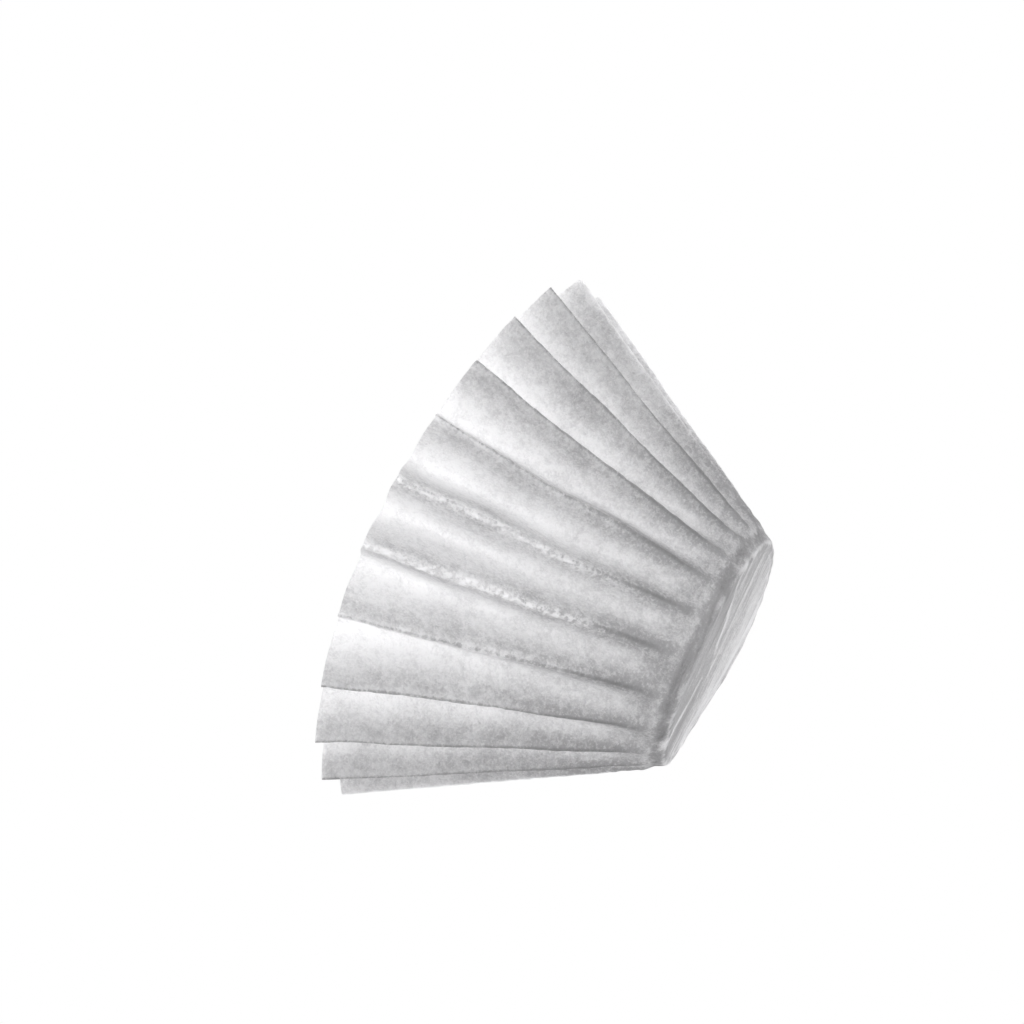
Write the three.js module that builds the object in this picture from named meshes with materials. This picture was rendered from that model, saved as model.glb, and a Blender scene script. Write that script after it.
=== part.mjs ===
// A wave paper coffee filter: one round sheet of filter paper, pressed into a flat-bottomed cup
// whose wall stands in flutes. Millimetres, +Z up, standing on its flat base with the mouth up.
import * as THREE from 'three';

// The sheet
const flatDiameter = 185; // the round sheet before it is pressed
const paperThickness = 0.2;

// The cup
const baseDiameter = 50.4;
const cornerRadius = 1.6; // where the base turns up into the wall
const mouthDiameter = 103.8; // measured midway between crests and valleys
const mouthOval = 0.067; // share by which the hung cup's mouth has opened one way and closed the other
const ovalDirection = 21; // degrees, the way in which the mouth has opened

// The flutes
const fluteCount = 22;
const fluteStart = 2.6; // up the wall from the base's edge, where the flutes begin
const fluteRun = 5.5; // where they have come out
const footPress = 0.2; // how much flatter they are pressed towards the base, 0 is not at all
const toeBulge = 0.3; // how far the flutes' round ends overhang the smooth band below them
const toeRise = 1.2; // height in which that bulge comes out
const toeFade = 6; // height in which it goes back
const crestRoundness = 0.1; // 0 is a sharp crest, 1 a plain wave
const firstCrest = -1; // degrees from +X to the first crest
const mouthDrift = 6.1; // degrees by which the crests have crowded together at the mouth
const mouthDriftFrom = 103; // degrees round from the first crest to the middle of the crowd
const footDrift = 7.7; // degrees by which the crests have wandered at the base
const footDriftFrom = 109;

// How finely the sheet is divided
const crestSteps = [0, 0.05, 0.16, 0.32, 0.5, 0.68, 0.84, 0.95]; // shares of one flute
const cornerSteps = 3;
const bandSteps = 1;
const toeSteps = 2;
const shoulderSteps = 2;
const wallSteps = 4;

const radians = Math.PI / 180;
const baseRadius = baseDiameter / 2;
const mouthRadius = mouthDiameter / 2;
const wallLength = flatDiameter / 2 - baseRadius;
const lean = Math.asin((mouthRadius - baseRadius) / wallLength);
const cornerTurn = Math.PI / 2 - lean;
const cornerReach = cornerRadius * Math.tan(cornerTurn / 2);

const { smoothstep, lerp } = THREE.MathUtils;

// Height of the flutes, crest to valley, at a distance up the wall: the ring of paper there is as
// long as it was in the flat sheet, and what the narrower cup doesn't need stands up in flutes,
// which are pressed flatter towards the base.
function fluteDepth(distance) {
  const flatRadius = baseRadius + distance;
  const cupRadius = baseRadius + distance * Math.sin(lean);
  const spare = Math.sqrt(Math.max(flatRadius ** 2 - cupRadius ** 2, 0));
  const pressed = (distance / wallLength) ** footPress;
  return (Math.PI / fluteCount) * spare * pressed * smoothstep(distance, fluteStart, fluteRun);
}

// The round ends of the flutes, as a swelling of the wall just above the smooth band.
function toe(distance) {
  const top = fluteStart + toeRise;
  const risen = smoothstep(distance, fluteStart, top);
  return toeBulge * risen * (1 - smoothstep(distance, top, top + toeFade));
}

// The wave of one flute: 1 on its narrow crest and -1 in its broad valley.
function wave(turn) {
  const side = Math.sin(Math.PI * turn);
  const full = Math.sqrt(1 + crestRoundness ** 2) - crestRoundness;
  return 1 - (2 * (Math.sqrt(side ** 2 + crestRoundness ** 2) - crestRoundness)) / full;
}

// The way round the cup, in radians, of a place counted in flutes from the first crest.
function wayRound(turn, distance) {
  const even = (360 / fluteCount) * turn;
  const atMouth = mouthDrift * Math.sin((even - mouthDriftFrom) * radians);
  const foot = (1 - Math.min(distance / wallLength, 1)) ** 2;
  const atFoot = footDrift * foot * Math.sin(2 * (even - footDriftFrom) * radians);
  return (firstCrest - even + atMouth - atFoot) * radians;
}

// A point of the wall's outer face.
function wallPoint(turn, distance) {
  const angle = wayRound(turn, distance);
  const opened = Math.sqrt(smoothstep(distance, 0, wallLength));
  const oval = 1 + mouthOval * opened * Math.cos(2 * (angle - ovalDirection * radians));
  const out = (wave(turn) * fluteDepth(distance)) / 2;
  const radius = (baseRadius + distance * Math.sin(lean)) * oval + out + toe(distance);
  const rimOut = mouthRadius - baseRadius + (wave(turn) * fluteDepth(wallLength)) / 2;
  const height = (distance / wallLength) * Math.sqrt(wallLength ** 2 - rimOut ** 2);
  return new THREE.Vector3(radius * Math.cos(angle), radius * Math.sin(angle), height);
}

// A point of the rounded corner, by the share of the corner that lies below it.
function cornerPoint(turn, share) {
  const angle = wayRound(turn, cornerReach * share);
  const bend = cornerTurn * share;
  const radius = baseRadius - cornerReach + cornerRadius * Math.sin(bend);
  const height = cornerRadius * (1 - Math.cos(bend));
  return new THREE.Vector3(radius * Math.cos(angle), radius * Math.sin(angle), height);
}

// Every ring of the cup's outer face, from the edge of the flat base to the rim.
function ringPlaces() {
  const places = [];
  const addSpan = (point, low, high, steps) => {
    for (let step = 0; step < steps; step += 1) places.push({ point, at: lerp(low, high, step / steps) });
  };
  addSpan(cornerPoint, 0, 1, cornerSteps);
  addSpan(wallPoint, cornerReach, fluteStart, bandSteps);
  addSpan(wallPoint, fluteStart, fluteStart + toeRise, toeSteps);
  addSpan(wallPoint, fluteStart + toeRise, fluteRun, shoulderSteps);
  addSpan(wallPoint, fluteRun, wallLength, wallSteps);
  places.push({ point: wallPoint, at: wallLength });
  return places;
}

function turnsRound() {
  const turns = [];
  for (let flute = 0; flute < fluteCount; flute += 1) {
    crestSteps.forEach((share) => turns.push(flute + share));
  }
  return turns;
}

// The paper's own direction outwards at a point, from its neighbours on the face.
function outward(place, turn) {
  const small = 0.002;
  const round = place.point(turn - small, place.at).sub(place.point(turn + small, place.at));
  const below = place.point(turn, place.at - small);
  const up = place.point(turn, place.at + small).sub(below);
  return round.cross(up).normalize();
}

// The folded sheet as one closed body: its outer face, its inner face one thickness behind, and
// the cut edge round the rim.
function foldedSheet() {
  const places = ringPlaces();
  const turns = turnsRound();
  const across = turns.length;
  const positions = [];
  const faces = [];
  const add = (point) => positions.push(point.x, point.y, point.z) / 3 - 1;

  const skin = (depth) => {
    const centre = add(new THREE.Vector3(0, 0, depth));
    const rings = places.map((place) => turns.map((turn) => {
      const point = place.point(turn, place.at);
      return add(point.addScaledVector(outward(place, turn), -depth));
    }));
    return { centre, rings };
  };
  const outer = skin(0);
  const inner = skin(paperThickness);

  const band = (low, high, flip) => {
    for (let i = 0; i < across; i += 1) {
      const j = (i + 1) % across;
      if (flip) faces.push(low[i], low[j], high[j], low[i], high[j], high[i]);
      else faces.push(low[i], high[j], low[j], low[i], high[i], high[j]);
    }
  };
  const disc = ({ centre, rings }, flip) => {
    for (let i = 0; i < across; i += 1) {
      const j = (i + 1) % across;
      faces.push(centre, ...(flip ? [rings[0][j], rings[0][i]] : [rings[0][i], rings[0][j]]));
    }
  };
  disc(outer, false);
  disc(inner, true);
  for (let ring = 1; ring < places.length; ring += 1) {
    band(outer.rings[ring - 1], outer.rings[ring], false);
    band(inner.rings[ring - 1], inner.rings[ring], true);
  }
  band(outer.rings.at(-1), inner.rings.at(-1), false);

  const geometry = new THREE.BufferGeometry();
  geometry.setAttribute('position', new THREE.Float32BufferAttribute(positions, 3));
  geometry.setIndex(faces);
  geometry.computeVertexNormals();
  return geometry;
}

const paper = new THREE.MeshStandardMaterial({ color: 0xe4e5e8, roughness: 0.9, metalness: 0 });

const filter = new THREE.Group();
const sheet = new THREE.Mesh(foldedSheet(), paper);
sheet.name = 'filter_paper';
filter.add(sheet);

export default filter;
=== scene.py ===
import math

import bmesh
import bpy
from mathutils import Matrix, Vector, noise


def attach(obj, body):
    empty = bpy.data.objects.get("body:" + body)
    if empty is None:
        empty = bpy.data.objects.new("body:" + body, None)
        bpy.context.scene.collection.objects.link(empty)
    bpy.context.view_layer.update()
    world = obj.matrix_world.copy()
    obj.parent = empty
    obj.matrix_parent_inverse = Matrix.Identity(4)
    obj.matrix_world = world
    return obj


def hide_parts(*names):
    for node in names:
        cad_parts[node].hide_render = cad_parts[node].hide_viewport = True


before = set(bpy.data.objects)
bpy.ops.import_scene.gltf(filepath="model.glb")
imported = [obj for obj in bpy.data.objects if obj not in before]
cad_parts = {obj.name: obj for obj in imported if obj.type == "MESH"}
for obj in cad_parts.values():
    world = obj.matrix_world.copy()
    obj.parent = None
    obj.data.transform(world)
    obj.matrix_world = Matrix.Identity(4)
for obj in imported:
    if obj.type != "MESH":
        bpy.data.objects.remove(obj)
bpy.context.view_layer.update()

mm = 0.001

# The cup's own sizes, the same as the solid's, in millimetres and degrees.
cup = {
    "flatDiameter": 185.0,  # the round sheet before it was pressed
    "thickness": 0.2,
    "baseDiameter": 50.4,
    "cornerRadius": 1.6,
    "mouthDiameter": 103.8,  # midway between crests and valleys
    "mouthOval": 0.067,
    "ovalDirection": 21.0,
    "fluteCount": 22,
    "fluteStart": 2.6,
    "fluteRun": 5.5,
    "footPress": 0.2,  # 0 lets the foot of the flutes stand up in full, more presses it flatter
    "toeBulge": 0.3,  # the flutes' round ends, over the smooth band above the base
    "toeRise": 1.2,
    "toeFade": 6.0,
    "crestRoundness": 0.1,
    "firstCrest": -1.0,
    "mouthDrift": 6.1,
    "mouthDriftFrom": 103.0,
    "footDrift": 7.7,
    "footDriftFrom": 109.0,
}

# What the paper did on top of that: creases, crinkles and a soft unevenness, in millimetres.
paperLife = {
    "stepsPerFlute": 26,
    "crestCrowding": 0.5,  # 0 spaces the steps evenly, towards 1 they crowd at the crests
    "baseRings": 12,
    "cornerRings": 6,
    "shoulder": 4.0,  # the rings lie close up to here above the flutes' ends
    "shoulderRings": 16,
    "wallRings": 46,
    "sway": 0.35,  # how far a crest wanders from its straight line
    "swayLength": 16.0,
    "crinkle": 0.16,  # small crumples along the worn crests
    "crinkleLength": 1.6,
    "crinkleWidth": 1.5,
    "wearSide": 0.4,  # the rubbed, crinkled stripe lies a little to one side of a crest
    "wearWidth": 1.5,
    "wearStart": (9.0, 30.0),  # up the wall, where it comes in
    "wearEverywhere": 0.15,  # share of it that every crest has
    "wearFlute": 5.7,  # where the rest lies, counted in flutes from the first crest
    "wearSpread": 1.5,
    "wornRoundness": 0.35,  # the rubbed crests are blunter,
    "wornLift": 1.3,  # and have been drawn up at the rim
    "swell": 0.30,  # soft hollows in the panels
    "swellLength": 17.0,
    "footPucker": 0.22,  # puckers where the flutes die out
    "footPuckerLength": 2.6,
    "footPuckerSpan": (-6.0, 0.0, 6.0, 16.0),  # from the base's edge: comes in, full, fades, gone
    "baseRipple": 0.30,
    "baseRippleLength": 5.0,
    "baseRippleEdge": 4.0,  # the ripples fade over this width of the base
    "baseDent": 1.7,  # the far side of the base's edge is pushed in
    "baseDentSpan": (-16.0, -1.0, 1.0, 16.0),
    "baseDentWay": 132.0,
    "baseDentWidth": 42.0,
    "rimRing": 0.04,  # a last narrow ring keeps the rim's cut edge crisp
    "mergeWithin": 0.002,
}

# Each kind of unevenness takes its own layer of the noise.
noiseLayer = {"sway": 3.0, "crinkle": 7.0, "swell": 11.0, "footPucker": 17.0, "baseRipple": 23.0}


def smoothStep(x, low, high):
    t = min(max((x - low) / (high - low), 0.0), 1.0)
    return t * t * (3 - 2 * t)


def smoothBand(x, low, full, fading, gone):  # comes in from low to full and goes from fading to gone
    return smoothStep(x, low, full) * (1 - smoothStep(x, fading, gone))


baseRadius = cup["baseDiameter"] / 2
mouthRadius = cup["mouthDiameter"] / 2
wallLength = cup["flatDiameter"] / 2 - baseRadius
lean = math.asin((mouthRadius - baseRadius) / wallLength)
cornerTurn = math.pi / 2 - lean
cornerReach = cup["cornerRadius"] * math.tan(cornerTurn / 2)


def fluteDepth(distance):  # the ring of paper is as long as it was in the flat sheet
    flatRadius = baseRadius + distance
    cupRadius = baseRadius + distance * math.sin(lean)
    spare = math.sqrt(max(flatRadius ** 2 - cupRadius ** 2, 0.0))
    shown = smoothStep(distance, cup["fluteStart"], cup["fluteRun"])
    pressed = max(distance / wallLength, 0.0) ** cup["footPress"]
    return math.pi / cup["fluteCount"] * spare * shown * pressed


def toe(distance):  # the round ends of the flutes swell out over the smooth band
    top = cup["fluteStart"] + cup["toeRise"]
    return cup["toeBulge"] * smoothBand(distance, cup["fluteStart"], top, top, top + cup["toeFade"])


def wornFlute(turn):  # 1 where the flutes have been handled most, 0 elsewhere
    return math.exp(-((turn - paperLife["wearFlute"]) / paperLife["wearSpread"]) ** 2)


def wave(turn):  # 1 on a narrow crest, -1 in a broad valley
    blunt = cup["crestRoundness"] + paperLife["wornRoundness"] * wornFlute(turn)
    full = math.sqrt(1 + blunt ** 2) - blunt
    return 1 - 2 * (math.sqrt(math.sin(math.pi * turn) ** 2 + blunt ** 2) - blunt) / full


def wayRound(turn, distance):  # radians round the cup of a place counted in flutes
    even = 360 / cup["fluteCount"] * turn
    atMouth = cup["mouthDrift"] * math.sin(math.radians(even - cup["mouthDriftFrom"]))
    foot = (1 - min(max(distance, 0.0) / wallLength, 1.0)) ** 2
    atFoot = cup["footDrift"] * foot * math.sin(2 * math.radians(even - cup["footDriftFrom"]))
    return math.radians(cup["firstCrest"] - even + atMouth - atFoot)


def uneven(name, turn, distance):  # even noise over the flat sheet, -1 to 1
    radius = baseRadius + distance
    flat = 2 * math.pi * turn / cup["fluteCount"]
    place = Vector((radius * math.cos(flat), radius * math.sin(flat), 0)) / paperLife[name + "Length"]
    return noise.noise(place + Vector((0, 0, noiseLayer[name])))


def baseDent(angle, distance):
    life = paperLife
    aside = math.degrees(math.remainder(angle - math.radians(life["baseDentWay"]), 2 * math.pi))
    across = smoothBand(distance, *life["baseDentSpan"])
    return life["baseDent"] * math.exp(-(aside / life["baseDentWidth"]) ** 2) * across


def foldedPoint(turn, distance):  # where the flat sheet's point comes to lie, millimetres
    life = paperLife
    onWall = smoothStep(distance, cup["fluteStart"], cup["fluteRun"])
    sway = life["sway"] * onWall * uneven("sway", turn, distance)
    angle = wayRound(turn, distance) + sway / baseRadius
    if distance <= -cornerReach:  # the flat base
        radius = baseRadius + distance
        height = 0.0
    elif distance < cornerReach:  # the rounded corner
        bend = cornerTurn * (distance + cornerReach) / (2 * cornerReach)
        radius = baseRadius - cornerReach + cup["cornerRadius"] * math.sin(bend)
        height = cup["cornerRadius"] * (1 - math.cos(bend))
    else:
        opened = math.sqrt(smoothStep(distance, 0, wallLength))
        oval = 1 + cup["mouthOval"] * opened * math.cos(2 * (angle - math.radians(cup["ovalDirection"])))
        middle = (baseRadius + distance * math.sin(lean)) * oval
        radius = middle + wave(turn) * fluteDepth(distance) / 2 + toe(distance)
        rimOut = mouthRadius - baseRadius + wave(turn) * fluteDepth(wallLength) / 2
        height = distance / wallLength * math.sqrt(wallLength ** 2 - rimOut ** 2)
        drawn = (distance / wallLength) ** 3 * (wave(turn) + 1) / 2 * wornFlute(turn)
        height += life["wornLift"] * drawn
    return Vector((radius * math.cos(angle), radius * math.sin(angle), height + baseDent(angle, distance)))


def wear(turn, distance):  # 0 to 1, how far the paper is rubbed along the crests; the material paints a highlight on the same stripe
    life = paperLife
    below = (turn - round(turn)) * 2 * math.pi * (baseRadius + distance) / cup["fluteCount"]
    stripe = math.exp(-((below - life["wearSide"]) / life["wearWidth"]) ** 2)
    share = life["wearEverywhere"] + (1 - life["wearEverywhere"]) * wornFlute(turn)
    return stripe * share * smoothStep(distance, *life["wearStart"])


def livelyOffset(turn, distance):  # how far the paper stands off its plain fold, along its normal
    life = paperLife
    onWall = smoothStep(distance, cup["fluteStart"], cup["fluteRun"])
    fromCrest = abs(turn - round(turn)) * 2 * math.pi * (baseRadius + distance) / cup["fluteCount"]
    worn = math.exp(-(fromCrest / life["crinkleWidth"]) ** 2) * onWall + wear(turn, distance)
    offset = life["crinkle"] * worn * uneven("crinkle", turn, distance)
    offset += life["swell"] * onWall * uneven("swell", turn, distance)
    nearFoot = smoothBand(distance, *life["footPuckerSpan"])
    offset += life["footPucker"] * nearFoot * uneven("footPucker", turn, distance)
    if distance < 0:  # the base only rises, so that it stands on its edge
        rise = life["baseRipple"] * (1 - smoothStep(distance, -life["baseRippleEdge"], 0))
        offset -= rise * (1 + uneven("baseRipple", turn, distance)) / 2
    return offset


def ringDistances():  # every ring of the sheet, from the middle of the base to the rim
    life = paperLife
    shoulderTop = cup["fluteRun"] + life["shoulder"]
    spans = (
        (-baseRadius, -cornerReach, life["baseRings"]),
        (-cornerReach, cornerReach, life["cornerRings"]),
        (cornerReach, shoulderTop, life["shoulderRings"]),
        (shoulderTop, wallLength - life["rimRing"], life["wallRings"]),
    )
    rings = [low + (high - low) * step / count for low, high, count in spans for step in range(count)]
    return rings + [wallLength - life["rimRing"], wallLength]


def makeCup():
    rings = ringDistances()
    columns = cup["fluteCount"] * paperLife["stepsPerFlute"]
    sheet = bmesh.new()
    bmesh.ops.create_grid(sheet, x_segments=columns, y_segments=len(rings) - 1, size=0.5)
    uvLayer = sheet.loops.layers.uv.new("Sheet")
    crestLayer = sheet.verts.layers.float.new("fromCrest")
    wallLayer = sheet.verts.layers.float.new("upWall")
    wearLayer = sheet.verts.layers.float.new("wear")
    small = 0.02  # the step to a point's neighbours, which give the paper's direction there
    for vert in sheet.verts:
        even = (vert.co.x + 0.5) * cup["fluteCount"]
        turn = even - paperLife["crestCrowding"] * math.sin(2 * math.pi * even) / (2 * math.pi)
        ring = rings[round((vert.co.y + 0.5) * (len(rings) - 1))]
        point = foldedPoint(turn, ring)
        along = foldedPoint(turn - small, ring) - foldedPoint(turn + small, ring)
        up = foldedPoint(turn, ring + small) - foldedPoint(turn, ring - small)
        normal = along.cross(up).normalized() if ring > -baseRadius + 1 else Vector((0, 0, -1))
        flatAngle = 2 * math.pi * turn / cup["fluteCount"]
        vert[crestLayer] = abs(turn - round(turn)) * 2 * math.pi * (baseRadius + ring) / cup["fluteCount"]
        vert[wallLayer] = ring
        vert[wearLayer] = wear(turn, ring)
        flat = Vector((math.cos(flatAngle), math.sin(flatAngle))) * (baseRadius + ring) / cup["flatDiameter"]
        for loop in vert.link_loops:
            loop[uvLayer].uv = flat + Vector((0.5, 0.5))
        vert.co = (point + normal * livelyOffset(turn, ring)) * mm
    bmesh.ops.remove_doubles(sheet, verts=sheet.verts, dist=paperLife["mergeWithin"] * mm)
    bmesh.ops.recalc_face_normals(sheet, faces=sheet.faces)
    for face in sheet.faces:
        face.smooth = True
    mesh = bpy.data.meshes.new("filterPaper")
    sheet.to_mesh(mesh)
    sheet.free()
    piece = bpy.data.objects.new("filterPaper", mesh)
    bpy.context.scene.collection.objects.link(piece)
    wall = piece.modifiers.new("Thickness", "SOLIDIFY")
    wall.thickness = cup["thickness"] * mm
    wall.offset = -1
    return piece


class Wire:  # one socket of a material, so that its sums read as plain expressions
    def __init__(self, shade, socket):
        self.shade = shade
        self.socket = socket

    def __add__(self, other):
        return self.shade.sum("ADD", self, other)

    def __radd__(self, other):
        return self.shade.sum("ADD", other, self)

    def __sub__(self, other):
        return self.shade.sum("SUBTRACT", self, other)

    def __rsub__(self, other):
        return self.shade.sum("SUBTRACT", other, self)

    def __mul__(self, other):
        return self.shade.sum("MULTIPLY", self, other)

    def __rmul__(self, other):
        return self.shade.sum("MULTIPLY", other, self)

    def __truediv__(self, other):
        return self.shade.sum("DIVIDE", self, other)

    def __abs__(self):
        return self.shade.sum("ABSOLUTE", self)


class Shade:  # the nodes of one material or of the world
    def __init__(self, owner):
        owner.use_nodes = True
        self.tree = owner.node_tree
        self.tree.nodes.clear()

    def node(self, kind, settings, inputs, output=0):
        made = self.tree.nodes.new("ShaderNode" + kind)
        for name, value in settings.items():
            setattr(made, name, value)
        for name, value in inputs.items():
            if isinstance(value, Wire):
                self.tree.links.new(value.socket, made.inputs[name])
            else:
                made.inputs[name].default_value = value
        return Wire(self, made.outputs[output]) if made.outputs else made

    def sum(self, operation, *values):
        return self.node("Math", {"operation": operation}, dict(enumerate(values)))

    def noise(self, place, perMetre, detail, roughness, distortion):  # about 0
        inputs = {"Vector": place, "Scale": perMetre, "Detail": detail, "Roughness": roughness}
        inputs["Distortion"] = distortion
        return self.node("TexNoise", {}, inputs) - 0.5

    def attribute(self, name):
        return self.node("Attribute", {"attribute_name": name}, {}, "Fac")

    def between(self, value, low, high):  # 0 below low, 1 above high, smooth between them
        settings = {"interpolation_type": "SMOOTHSTEP"}
        return self.node("MapRange", settings, {"Value": value, "From Min": low, "From Max": high})

    def band(self, value, low, full, fading, gone):  # comes in from low to full, then goes
        return self.between(value, low, full) * (1 - self.between(value, fading, gone))

    def line(self, value, width, core=0.0):  # 1 where the value is about 0
        return 1 - self.between(abs(value), core, width)

    def blend(self, factor, first, second):  # two colours
        settings = {"data_type": "RGBA"}
        return self.node("Mix", settings, {"Factor": factor, 6: first, 7: second}, 2)


# The paper's finish: white pulp pressed thin, so that light comes through its thin places.
paperLook = {
    "shade": (0.40, 0.396, 0.404, 1),
    "light": (0.97, 0.97, 0.97, 1),
    "throughColour": (0.94, 0.938, 0.943, 1),
    "roughness": 0.92,
    "specular": 0.25,
    "sheen": 0.08,
    "bump": 0.9,
    "bumpDistance": 0.00018,
}

# Its unevenness: waves a metre, detail, roughness and distortion.
pulpNoise = {
    "cloud": (90.0, 2.0, 0.5, 0.0),
    "flock": (420.0, 3.0, 0.6, 0.4),  # soft clumps of pulp
    "mottle": (1100.0, 3.0, 0.65, 0.0),
    "specks": (2000.0, 1.0, 0.5, 0.0),
    "grain": (3200.0, 1.0, 0.5, 0.0),
    "curls": (420.0, 3.0, 0.6, 1.6),  # curled fibres that catch the light
    "fineCurls": (882.0, 2.0, 0.5, 2.2),
    "knobs": (950.0, 1.5, 0.5, 0.0),  # along the worn crests
    "streaks": (1500.0, 2.0, 0.6, 0.0),  # drawn streaks of the base
    "broadStreaks": (240.0, 2.0, 0.55, 1.0),
}

# Where its marks lie, in millimetres, or in the noise's own range. Of four numbers, a mark comes
# in between the first two and goes between the last two.
paperMarks = {
    "curl": 0.035,
    "fineCurl": 0.045,
    "curled": (-0.05, 0.14),  # the clumps that show curls
    "whiteSpeck": (0.03, 0.16),
    "knob": (-0.05, 0.09),
    "knobSpecks": 0.4,  # share of the specks that roughens the knobs
    "leastCrumple": 0.12,
    "streakStretch": (0.12, 1.0, 1.0),  # the streaks are drawn out along X
    "wallStart": 8.0,  # above the flutes' ends, where the wall's own marks have come in
    "valley": (0.22, 0.7),  # shares of the way from crest to valley
    "shadeBesideCrest": (0.8, 1.6, 1.6, 4.5),
    "foldShadeLine": (0.1, 0.75),  # from the crest
    "litSide": (-0.30, -0.12, 0.2, 0.5),  # shares of the cup's radius, along Y
    "rim": (36.0, 4.0),  # below the cut edge
    "lowWallEnd": (8.0, 40.0),
    "crestShadow": 2.1,
    "crestShadowWander": 2.0,
    "crestShadowClumps": 3.0,
    "crestShadowCloud": 2.0,
    "footFoldShade": (1.4, 2.6, 2.6, 4.2),
    "footFoldWander": (6.0, 5.0),  # how far the clumps and the clouds shift it
    "footFoldSide": (0.0, 16.0),  # along X, where the painted shade of the fold grows darker
    "footTop": 1.5,  # up the wall, where the foot's marks begin to go
    "footWay": (-16.0, 20.0),  # along Y, from the base's near side to its far side
    "edge": 0.9,
    "edgeWander": 1.6,
    "edgeEnds": (6.0, 17.0),  # along X
    "edgeShade": (1.7, 0.3, 1.1),  # how far inside the edge, its core and its width
    "innerEdge": (2.4, 0.5),  # how far inside the edge, and its width
    "innerEdgeWander": 4.0,
    "creaseWidth": 2.2,
    "creaseWander": 4.0,
    "creaseShade": (-7.0, -1.0, -1.0, 0.0),
    "creases": (  # across the base: way in degrees, distance from its middle, place along, reach
        (53.0, -5.6, -14.0, 22.0),
        (114.0, -5.5, 18.0, 18.0),
    ),
}

# How much whiter each mark makes the paper's colour, or how much greyer: the pulp and its wear, and painted
# light and shade.
pulpTone = {
    "plain": 0.35,
    "cloud": 0.6,
    "flock": 0.9,
    "mottle": 1.1,
    "grain": 0.6,
    "curls": 0.26,
    "fineCurls": 0.22,
    "whiteSpecks": 0.3,
    "smoothFoot": 0.25,  # share of the speckle that the foot has lost
    # painted light: the valleys paler, as if lit from inside the cup
    "valley": 0.30,
    # partly wear, a rubbed, crinkled crest stripe, and partly a painted highlight on the crest tops
    "crumpleAndHighlight": 0.85,
    # painted shade on both sides of each crest fold
    "shadeBesideCrest": -0.12,
    # painted shade: a dark line along each crest fold
    "foldShadeLine": -0.75,
    "litFold": 1.2,
    # painted light: paler towards the rim
    "rim": 0.16,
    # painted shade: a dark band where the flutes end, darker on one side
    "footFoldShade": -0.12,
    "footFoldSide": -0.35,
    "crestShadow": -0.5,
    # painted shade: the lower wall darker
    "lowWallShade": -0.17,
    # painted shade: the base and its corner darker, and painted light paler towards the far side
    "foot": -0.53,
    "litFarFoot": 0.78,
    "streaks": 1.2,
    "broadStreaks": 2.5,
    # painted highlight along each crease of the base
    "creases": 0.75,
    "creaseShade": -0.4,
    # painted highlight: a pale line along the base's edge, at its ends and far side
    "edge": 0.7,
    # painted highlight: a second pale line inside the far edge
    "innerEdge": 0.7,
    "edgeShade": -0.3,
}

# How far each mark stands up, as shares of the bump.
pulpRelief = {"speckle": 0.7, "crumpleAndHighlight": 1.2, "streaks": 1.5, "broadStreaks": 3.0, "edge": 0.5}

# The share of the light that passes each face, and what the marks add to it.
paperThrough = {"plain": 0.60, "pulp": 0.29, "crumpleAndHighlight": 0.2, "litFold": 0.25, "foldShadeLine": -0.1}


def weighed(weights, marks):  # the sum of the marks, each times its weight
    total = 0.0
    for name, mark in marks.items():
        total = mark * weights[name] + total
    return total


def makePulp(shade, place):  # the paper's own unevenness
    marks = paperMarks
    drawn = shade.node("VectorMath", {"operation": "MULTIPLY"}, {0: place, 1: marks["streakStretch"]})
    pulp = {}
    for name, settings in pulpNoise.items():
        pulp[name] = shade.noise(drawn if name in ("streaks", "broadStreaks") else place, *settings)
    curled = shade.between(pulp["mottle"] + pulp["flock"], *marks["curled"])
    speckle = weighed(pulpTone, {
        "flock": pulp["flock"],
        "mottle": pulp["mottle"],
        "grain": pulp["grain"],
        "curls": shade.line(pulp["curls"], marks["curl"]) * curled,
        "fineCurls": shade.line(pulp["fineCurls"], marks["fineCurl"]) * curled,
        "whiteSpecks": shade.between(pulp["specks"], *marks["whiteSpeck"]),
    })
    return pulp, speckle


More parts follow.
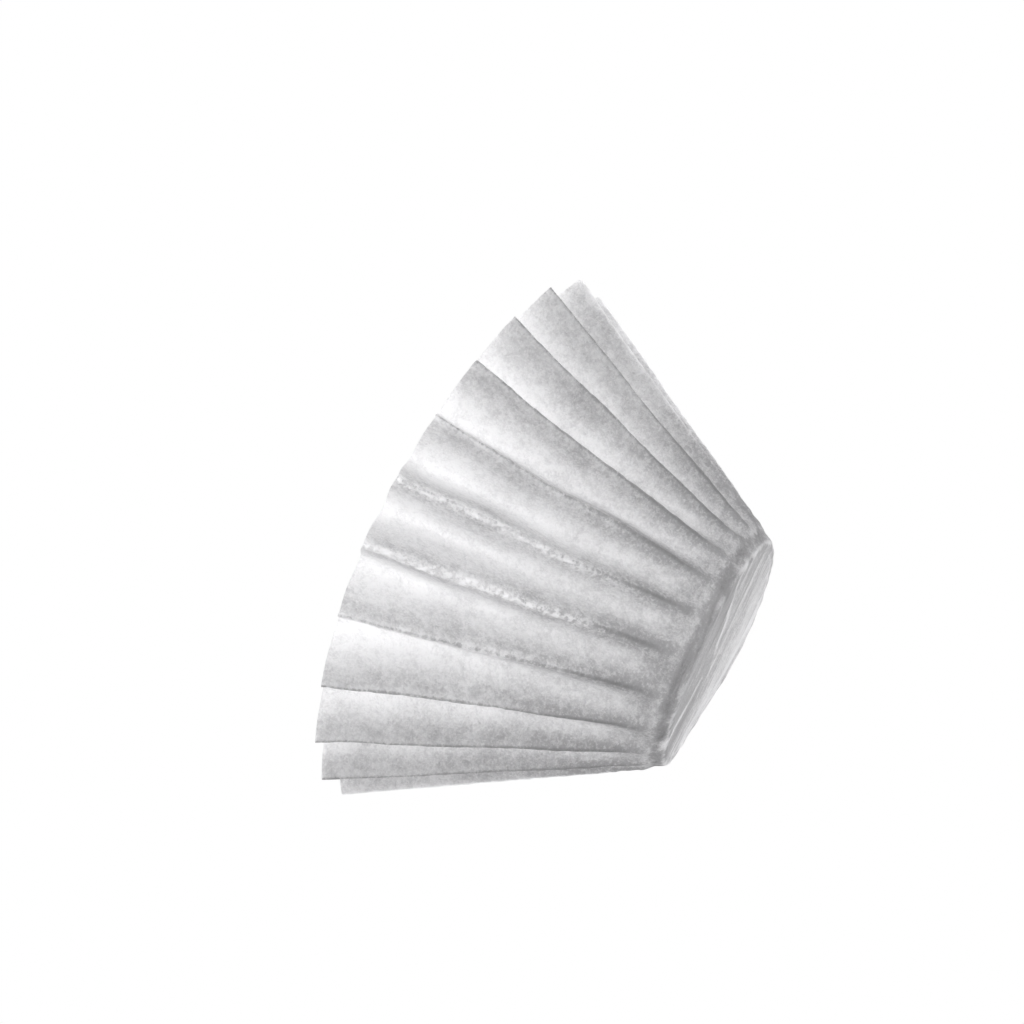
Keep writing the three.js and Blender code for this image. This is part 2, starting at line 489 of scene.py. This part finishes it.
def makeWallMarks(shade, pulp, alongY):  # marks on the fluted wall: the rubbed crests, and painted light and shade at its folds, valleys, rim and foot
    marks = paperMarks
    fromCrest, upWall, worn = (shade.attribute(name) for name in ("fromCrest", "upWall", "wear"))
    wall = shade.between(upWall, cup["fluteRun"], cup["fluteRun"] + marks["wallStart"])
    toValley = fromCrest * (cup["fluteCount"] / math.pi) / (upWall + baseRadius)  # 0 crest, 1 valley
    knobs = shade.between(pulp["knobs"] + pulp["specks"] * marks["knobSpecks"], *marks["knob"])
    # painted shade along the crest folds, left off the rubbed crests
    foldShadeLine = (1 - shade.between(fromCrest, *marks["foldShadeLine"])) * wall * (1 - worn)
    behind = alongY * 1000 / (upWall * math.sin(lean) + baseRadius)
    below, above = marks["rim"]
    # painted shade over the lower wall, which also bounds the crest shadows
    lowWallShade = shade.band(upWall, cup["fluteStart"], cup["fluteRun"], *marks["lowWallEnd"])
    shadowEdge = fromCrest + pulp["mottle"] * marks["crestShadowWander"]
    nearCrest = 1 - shade.between(shadowEdge, 0.0, marks["crestShadow"])
    patchy = 1 + pulp["flock"] * marks["crestShadowClumps"] + pulp["cloud"] * marks["crestShadowCloud"]
    return {
        # painted light: paler valleys
        "valley": shade.between(toValley, *marks["valley"]) * wall,
        # the rubbed crest stripe, which the colour also uses as a painted highlight
        "crumpleAndHighlight": worn * (marks["leastCrumple"] + knobs * (1 - marks["leastCrumple"])),
        # painted shade beside the crests
        "shadeBesideCrest": shade.band(fromCrest, *marks["shadeBesideCrest"]) * wall,
        "foldShadeLine": foldShadeLine,
        "litFold": foldShadeLine * shade.band(behind, *marks["litSide"]),
        # painted light near the rim
        "rim": shade.between(upWall, wallLength - below, wallLength - above),
        "lowWallShade": lowWallShade,
        "crestShadow": lowWallShade * nearCrest * patchy,
    }


def makeCreases(shade, pulp, foot, alongX, alongY):  # soft folds across the base: a bump, a painted highlight along each and painted shade on its near side
    marks = paperMarks
    creases, creaseShade = 0.0, 0.0
    for way, offset, middle, reach in marks["creases"]:
        cos, sin = math.cos(math.radians(way)), math.sin(math.radians(way))
        beyond = (alongX * cos + alongY * sin) * 1000 - offset + pulp["cloud"] * marks["creaseWander"]
        along = (alongY * cos - alongX * sin) * 1000 - middle
        shown = foot * shade.line(along, reach)
        creases = shown * shade.line(beyond, marks["creaseWidth"]) + creases
        creaseShade = shown * shade.band(beyond, *marks["creaseShade"]) + creaseShade
    return {"creases": creases, "creaseShade": creaseShade}


def makeFootMarks(shade, pulp, foot, alongX, alongY):  # the base, its edge and the band above it: streaks, and painted light and shade
    marks = paperMarks
    upWall = shade.attribute("upWall")
    farness = shade.between(alongY, *(at * mm for at in marks["footWay"]))
    ends = shade.between(abs(alongX), *(at * mm for at in marks["edgeEnds"]))
    byClumps, byClouds = marks["footFoldWander"]
    foldHeight = upWall + pulp["flock"] * byClumps + pulp["cloud"] * byClouds
    # painted shade along the fold where the flutes end
    footFoldShade = shade.band(foldHeight, *marks["footFoldShade"])
    darkSide = shade.between(alongX, *(at * mm for at in marks["footFoldSide"]))
    # painted highlight along the base's edge
    edge = shade.line(upWall + pulp["broadStreaks"] * marks["edgeWander"], marks["edge"])
    shadeInside, shadeCore, shadeWidth = marks["edgeShade"]
    inside, width = marks["innerEdge"]
    innerEdge = shade.line(upWall + inside + pulp["broadStreaks"] * marks["innerEdgeWander"], width)
    return {
        "footFoldShade": footFoldShade,
        "footFoldSide": footFoldShade * darkSide,
        "foot": foot,
        "litFarFoot": foot * farness,
        "streaks": foot * pulp["streaks"],
        "broadStreaks": foot * pulp["broadStreaks"],
        "edge": edge * shade.sum("MAXIMUM", ends, farness),
        "edgeShade": shade.line(upWall + shadeInside, shadeWidth, shadeCore) * farness,
        "innerEdge": innerEdge * farness,
        **makeCreases(shade, pulp, foot, alongX, alongY),
    }


def makePaper():
    look, marks, tone = paperLook, paperMarks, pulpTone
    material = bpy.data.materials.new("filterPaper")
    shade = Shade(material)
    place = shade.node("TexCoord", {}, {}, "Object")
    alongX, alongY = (shade.node("SeparateXYZ", {}, {"Vector": place}, axis) for axis in "XY")
    footEnd = cup["fluteStart"] + marks["footTop"]
    foot = 1 - shade.between(shade.attribute("upWall"), marks["footTop"], footEnd)
    pulp, speckle = makePulp(shade, place)
    onWall = makeWallMarks(shade, pulp, alongY)
    onFoot = makeFootMarks(shade, pulp, foot, alongX, alongY)

    white = tone["plain"] + pulp["cloud"] * tone["cloud"] + speckle * (1 - foot * tone["smoothFoot"])
    white = white + weighed(tone, onWall) + weighed(tone, onFoot)
    colour = shade.blend(white, look["shade"], look["light"])

    raised = {"speckle": speckle, "crumpleAndHighlight": onWall["crumpleAndHighlight"], "edge": onFoot["edge"]}
    raised |= {name: onFoot[name] for name in ("streaks", "broadStreaks")}
    height = weighed(pulpRelief, raised) + onFoot["creases"]
    bump = {"Strength": look["bump"], "Distance": look["bumpDistance"], "Height": height}
    normal = shade.node("Bump", {}, bump)

    front = shade.node("BsdfPrincipled", {}, {
        "Base Color": colour,
        "Roughness": look["roughness"],
        "Specular IOR Level": look["specular"],
        "Sheen Weight": look["sheen"],
        "Normal": normal,
    })
    back = shade.node("BsdfTranslucent", {}, {"Color": look["throughColour"], "Normal": normal})
    passing = {name: onWall[name] for name in ("crumpleAndHighlight", "litFold", "foldShadeLine")}
    passing["pulp"] = white - 0.5
    thin = paperThrough["plain"] + weighed(paperThrough, passing)
    mixed = shade.node("MixShader", {}, {0: thin, 1: front, 2: back})
    shade.node("OutputMaterial", {}, {"Surface": mixed})
    return material


# The studio: a white surround, a floor that only the camera sees and only from above, and
# soft lamps. Metres and degrees, and the cup's mouth is up.
studio = {
    "floorSide": 6.0,
    "floorDrop": 0.0003,
    "floorColour": (0.82, 0.82, 0.82, 1),
    "floorFade": (0.08, 0.30),  # the floor turns into plain white between these distances
    "surround": 0.29,
    "lampsAim": 0.03,  # height of the point that the lamps face
    "lamps": (  # name, way round, height angle, distance, size, strength in watts
        ("backSoftbox", 86.0, 22.0, 1.0, 1.5, 11.8),
        ("topSoftbox", 60.0, 70.0, 1.0, 0.7, 1.0),
        ("upperFill", -45.0, 18.0, 1.2, 0.9, 2.1),
        ("lowBackLight", 85.0, -12.0, 0.9, 0.3, 8.0),
        ("lowFill", -90.0, -50.0, 0.9, 0.5, 2.2),
    ),
}


def makeFloor():
    sheet = bmesh.new()
    bmesh.ops.create_grid(sheet, x_segments=8, y_segments=8, size=studio["floorSide"] / 2)
    bmesh.ops.translate(sheet, verts=sheet.verts, vec=(0, 0, -studio["floorDrop"]))
    mesh = bpy.data.meshes.new("floor")
    sheet.to_mesh(mesh)
    sheet.free()
    floor = bpy.data.objects.new("floor", mesh)
    bpy.context.scene.collection.objects.link(floor)
    material = bpy.data.materials.new("floor")
    shade = Shade(material)
    fromCamera = shade.node("LightPath", {}, {}, "Is Camera Ray")
    behind = shade.node("NewGeometry", {}, {}, "Backfacing")
    plain = shade.node("BsdfDiffuse", {}, {"Color": studio["floorColour"]})
    white = shade.node("Emission", {}, {"Color": (1, 1, 1, 1)})
    place = shade.node("TexCoord", {}, {}, "Object")
    fromMiddle = shade.node("VectorMath", {"operation": "LENGTH"}, {0: place}, "Value")
    faded = shade.between(fromMiddle, *studio["floorFade"])
    laid = shade.node("MixShader", {}, {0: faded, 1: plain, 2: white})
    clear = shade.node("BsdfTransparent", {}, {})
    shown = shade.node("MixShader", {}, {0: fromCamera * (1 - behind), 1: clear, 2: laid})
    shade.node("OutputMaterial", {}, {"Surface": shown})
    mesh.materials.append(material)


def makeWorld():
    world = bpy.data.worlds.new("surround")
    bpy.context.scene.world = world
    shade = Shade(world)
    kinds = ("Is Camera Ray", "Is Glossy Ray", "Is Transmission Ray")
    camera, glossy, through = (shade.node("LightPath", {}, {}, kind) for kind in kinds)
    seen = shade.sum("MAXIMUM", camera, shade.sum("MAXIMUM", glossy, through))
    strength = studio["surround"] + seen * (1 - studio["surround"])
    white = shade.node("Background", {}, {"Color": (1, 1, 1, 1), "Strength": strength})
    shade.node("OutputWorld", {}, {"Surface": white})


def awayFrom(wayRoundDegrees, heightDegrees):
    turn, rise = math.radians(wayRoundDegrees), math.radians(heightDegrees)
    return Vector((math.cos(turn) * math.cos(rise), math.sin(turn) * math.cos(rise), math.sin(rise)))


def makeLamps():
    middle = Vector((0, 0, studio["lampsAim"]))
    for name, turn, rise, distance, size, watts in studio["lamps"]:
        lamp = bpy.data.lights.new(name, "AREA")
        lamp.shape = "DISK"
        lamp.size = size
        lamp.energy = watts
        holder = bpy.data.objects.new(name, lamp)
        direction = awayFrom(turn, rise)
        holder.location = middle + direction * distance
        holder.rotation_euler = direction.to_track_quat("Z", "Y").to_euler()
        bpy.context.scene.collection.objects.link(holder)


# The photograph's angle: in front of the cup, a little below its base, and rolled.
shot = {
    "distance": 395.3,  # from the cup's middle, millimetres
    "height": -13.27,  # degrees above the base's plane
    "roll": -65.06,
    "focus": 66.5,  # lens for a 36 mm wide sensor
    "aimAt": 29.7,  # height of the cup's middle
    "asideRight": -16.9,  # where the picture's middle falls beside the cup's middle
    "asideUp": 17.3,
}


def makeCamera():
    back = awayFrom(-90.0, shot["height"])
    level = Vector((0, 0, 1)).cross(back).normalized()
    upright = back.cross(level)
    roll = math.radians(shot["roll"])
    right = level * math.cos(roll) + upright * math.sin(roll)
    up = upright * math.cos(roll) - level * math.sin(roll)
    middle = Vector((0, 0, shot["aimAt"]))
    place = middle + back * shot["distance"]
    aim = middle + right * shot["asideRight"] + up * shot["asideUp"]
    back = (place - aim).normalized()
    right = (right - back * right.dot(back)).normalized()
    up = back.cross(right)
    camera = bpy.data.cameras.new("camera")
    camera.lens = shot["focus"]
    camera.sensor_width = 36
    camera.clip_start = 0.01
    holder = bpy.data.objects.new("camera", camera)
    turned = Matrix((right, up, back)).transposed().to_4x4()
    holder.matrix_world = Matrix.Translation(place * mm) @ turned
    bpy.context.scene.collection.objects.link(holder)
    bpy.context.scene.camera = holder


bpy.context.scene.view_settings.view_transform = "Standard"
makeCamera()
print("camera placed")

filterPaper = makeCup()
filterPaper.data.materials.append(makePaper())
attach(filterPaper, "root")
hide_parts("filter_paper")
print("cup folded and finished")

makeFloor()
makeWorld()
makeLamps()
print("studio lit")
